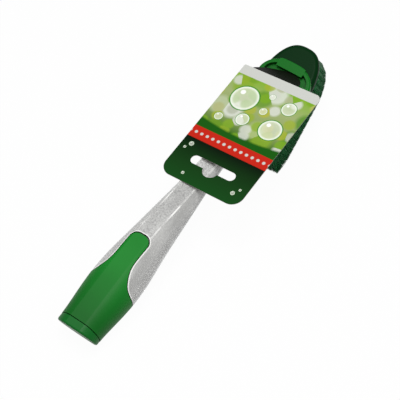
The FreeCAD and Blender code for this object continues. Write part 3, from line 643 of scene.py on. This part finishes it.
def thread_ridge(sizes):
    """Points and triangles of the cap's thread.

    A ridge of trapezoid section, sunk a little into the plug, winds round the handle's axis: at turn a its middle
    stands at pitch times a over two pi past its start, and its height fades in and out over the first and last half
    turn.
    """
    turns = 1.7
    steps = 140
    plug_radius = 7.1 * MM
    sunk_radius = plug_radius - 0.1 * MM
    first = 1.4 * MM
    half_foot = 0.7 * MM
    half_crest = 0.4 * half_foot
    least_fade = 0.02
    a = np.linspace(0, 2 * math.pi * turns, steps)[:, None]
    fade = np.clip(np.minimum(a, a[-1] - a) / math.pi, least_fade, 1)
    section = np.array([-half_foot, -half_crest, half_crest, half_foot])
    along = first + sizes.thread_pitch * a / (2 * math.pi) + section
    foot = np.full_like(a, sunk_radius)
    top = plug_radius + sizes.thread_height * fade
    radius = np.concatenate([foot, top, top, foot], 1)
    spoke = np.cos(a)[..., None] * handle_y + np.sin(a)[..., None] * handle_z
    points = handle_rear + along[..., None] * handle_x + radius[..., None] * spoke
    last = 4 * (len(a) - 1)
    caps = [[0, 1, 2], [0, 2, 3], [last, last + 2, last + 1], [last, last + 3, last + 2]]
    return points, np.concatenate([grid_faces(len(a), 4)[:, ::-1], caps])


class WAND_OT_handle(bpy.types.Operator):
    """Clear handle, its seals and the valve in the foot"""
    bl_idname = "wand.handle"
    bl_label = "Clear Handle"

    def execute(self, context):
        scene = context.scene
        dress("reservoir", clear_styrene(scene.wand_sizes, scene.wand_colours))
        nitrile = rubber("nitrile rubber", scene.wand_colours.seal, roughness=0.55, transmission=0.0)
        dress("neck_seal", nitrile)
        dress("cap_gasket", nitrile)
        silicone = rubber("silicone rubber", scene.wand_colours.silicone, roughness=0.5, transmission=0.4)
        dress("slit_valve", silicone)
        return {"FINISHED"}


class WAND_OT_grip(bpy.types.Operator):
    """Soft grip, and the fill cap with its thread"""
    bl_idname = "wand.grip"
    bl_label = "Grip and Cap"

    def execute(self, context):
        scene = context.scene
        dress("grip_sleeve", soft_elastomer(scene.wand_colours))
        green = moulded_plastic("polypropylene cap", scene.wand_colours.cap, rough_low=0.36, rough_high=0.48,
                                grain_mm=0.6, gloss=0.14)
        dress("end_cap", green)
        points, faces = thread_ridge(scene.wand_sizes)
        mesh_piece("cap_thread", points, faces, green, "cap")
        return {"FINISHED"}


class WAND_OT_foot(bpy.types.Operator):
    """Bright green foot with its rails and valve ring"""
    bl_idname = "wand.foot"
    bl_label = "Foot"

    def execute(self, context):
        green = moulded_plastic("polypropylene foot", context.scene.wand_colours.foot, rough_low=0.28, rough_high=0.38,
                                grain_mm=0.8, gloss=0.1)
        for node in ("foot_shell", "rail_base", "valve_retainer"):
            dress(node, green)
        return {"FINISHED"}


class WAND_OT_brush(bpy.types.Operator):
    """Dark green plate and its tufts of bristles"""
    bl_idname = "wand.brush"
    bl_label = "Brush Head"

    def execute(self, context):
        scene = context.scene
        green = moulded_plastic("polypropylene plate", scene.wand_colours.plate, rough_low=0.34, rough_high=0.44,
                                grain_mm=0.7, gloss=0.05)
        dress("brush_plate", green)
        nylon = nylon_bristle(scene.wand_colours)
        for seed, node in enumerate(name for name in sorted(nodes) if name.startswith("tufts")):
            outer = node == "tufts_outer"
            count = scene.wand_sizes.outer_bristles if outer else scene.wand_sizes.inner_bristles
            points, faces, shades = bristles(node, count, scene.wand_sizes, seed)
            piece = mesh_piece(
                node.replace("tufts", "bristles"), points, faces, nylon, "brush", shades)
            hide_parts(node)
        return {"FINISHED"}


class WAND_OT_card(bpy.types.Operator):
    """Printed hanging card"""
    bl_idname = "wand.card"
    bl_label = "Card"

    def execute(self, context):
        dress("card", printed_card(context.scene.wand_sizes, context.scene.wand_colours))
        return {"FINISHED"}


def camera_matrix(stage):
    """Camera at a distance from a point on the handle, told by azimuth, elevation and roll in the handle's frame."""
    axes = np.stack([handle_x, handle_y, handle_z], 1)
    flat = math.cos(stage.elevation)
    back = np.array([flat * math.cos(stage.azimuth), flat * math.sin(stage.azimuth), math.sin(stage.elevation)])
    level = np.cross(-back, [0, 0, 1])
    level /= np.linalg.norm(level)
    down = np.cross(-back, level)
    c, s = math.cos(stage.roll), math.sin(stage.roll)
    right = axes @ (c * level + s * down)
    up = axes @ (s * level - c * down)
    back = axes @ back
    place = handle_rear + handle_x * stage.target + back * stage.distance
    rows = np.eye(4)
    rows[:3] = np.stack([right, up, back, place], 1)
    return Matrix(rows.tolist())


def floor_material(stage):
    """White paper sweep: plain white to the eye, with part of its own light and shade left so that shadows show."""
    material, tree = new_material("white paper sweep")
    rays = add(tree, "ShaderNodeLightPath")
    seen = add(tree, "ShaderNodeMath", {0: rays.outputs["Is Camera Ray"], 1: rays.outputs["Is Glossy Ray"]},
               operation="MAXIMUM")
    seen = add(tree, "ShaderNodeMath", {0: seen.outputs[0], 1: rays.outputs["Is Transmission Ray"]},
               operation="MAXIMUM")
    share = add(tree, "ShaderNodeMath", {0: seen.outputs[0], 1: stage.floor_white}, operation="MULTIPLY")
    paper = add(tree, "ShaderNodeBsdfDiffuse", {"Color": (0.5, 0.5, 0.5, 1)})
    white = add(tree, "ShaderNodeEmission", {"Color": (1, 1, 1, 1), "Strength": 1.02})
    mixed = add(tree, "ShaderNodeMixShader", {0: share.outputs[0], 1: paper.outputs[0], 2: white.outputs[0]})
    add(tree, "ShaderNodeOutputMaterial", {"Surface": mixed.outputs[0]})
    return material


def area_lamp(name, place, size, power):
    """Square soft box aimed at the middle of the wand."""
    lamp = bpy.data.lights.new(name, "AREA")
    lamp.size = size
    lamp.energy = power
    box = bpy.data.objects.new(name, lamp)
    back = np.array(place) / np.linalg.norm(place)
    near_y = [0, 1, 0.01]
    side = np.cross(near_y, back)
    side /= np.linalg.norm(side)
    rows = np.eye(4)
    rows[:3] = np.stack([side, np.cross(back, side), back, place], 1)
    box.matrix_world = Matrix(rows.tolist())
    bpy.context.scene.collection.objects.link(box)


class WAND_OT_stage(bpy.types.Operator):
    """White floor, soft lamps, plain sky and the camera"""
    bl_idname = "wand.stage"
    bl_label = "Stage"

    def execute(self, context):
        scene = context.scene
        mesh = bpy.data.meshes.new("floor")
        reach = 6.0
        corners = [(-reach, -reach, 0), (reach, -reach, 0), (reach, reach, 0), (-reach, reach, 0)]
        mesh.from_pydata(corners, [], [(0, 1, 2, 3)])
        mesh.materials.append(floor_material(scene.wand_stage))
        floor = bpy.data.objects.new("floor", mesh)
        scene.collection.objects.link(floor)

        world = bpy.data.worlds.new("white room")
        world.use_nodes = True
        tree = world.node_tree
        tree.nodes.clear()
        sky = add(tree, "ShaderNodeBackground", {"Color": (1, 1, 1, 1), "Strength": scene.wand_stage.sky})
        add(tree, "ShaderNodeOutputWorld", {"Surface": sky.outputs[0]})
        scene.world = world
        for lamp in LAMPS:
            area_lamp(*lamp)

        lens = bpy.data.cameras.new("camera")
        lens.lens = scene.wand_stage.lens
        lens.sensor_width = 36.0
        lens.shift_x = scene.wand_stage.shift_x
        lens.shift_y = scene.wand_stage.shift_y
        lens.clip_start = 0.01
        camera = bpy.data.objects.new("camera", lens)
        camera.matrix_world = camera_matrix(scene.wand_stage)
        scene.collection.objects.link(camera)
        scene.camera = camera
        scene.view_settings.view_transform = "Standard"
        return {"FINISHED"}


class WAND_PT_panel(bpy.types.Panel):
    """Buttons for each group of pieces, with the sizes and colours they read"""
    bl_idname = "WAND_PT_panel"
    bl_label = "Dish Wand"
    bl_space_type = "VIEW_3D"
    bl_region_type = "UI"
    bl_category = "Dish Wand"

    def draw(self, context):
        for operator in OPERATORS:
            self.layout.operator(operator.bl_idname)
        for group in (context.scene.wand_sizes, context.scene.wand_colours, context.scene.wand_stage):
            box = self.layout.box()
            for name in group.__annotations__:
                box.prop(group, name)


OPERATORS = (WAND_OT_handle, WAND_OT_grip, WAND_OT_foot, WAND_OT_brush, WAND_OT_card, WAND_OT_stage)
CLASSES = (WandSizes, WandColours, WandStage, *OPERATORS, WAND_PT_panel)


def register():
    """Registers the classes and gives the scene its settings."""
    for cls in CLASSES:
        bpy.utils.register_class(cls)
    bpy.types.Scene.wand_sizes = PointerProperty(type=WandSizes)
    bpy.types.Scene.wand_colours = PointerProperty(type=WandColours)
    bpy.types.Scene.wand_stage = PointerProperty(type=WandStage)


def unregister():
    """Takes the settings and the classes away again."""
    del bpy.types.Scene.wand_stage
    del bpy.types.Scene.wand_colours
    del bpy.types.Scene.wand_sizes
    for cls in reversed(CLASSES):
        bpy.utils.unregister_class(cls)


def main():
    """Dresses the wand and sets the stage."""
    register()
    bpy.ops.wand.handle()
    bpy.ops.wand.grip()
    bpy.ops.wand.foot()
    bpy.ops.wand.brush()
    bpy.ops.wand.card()
    bpy.ops.wand.stage()
    bpy.context.view_layer.update()


if __name__ == "__main__":
    main()
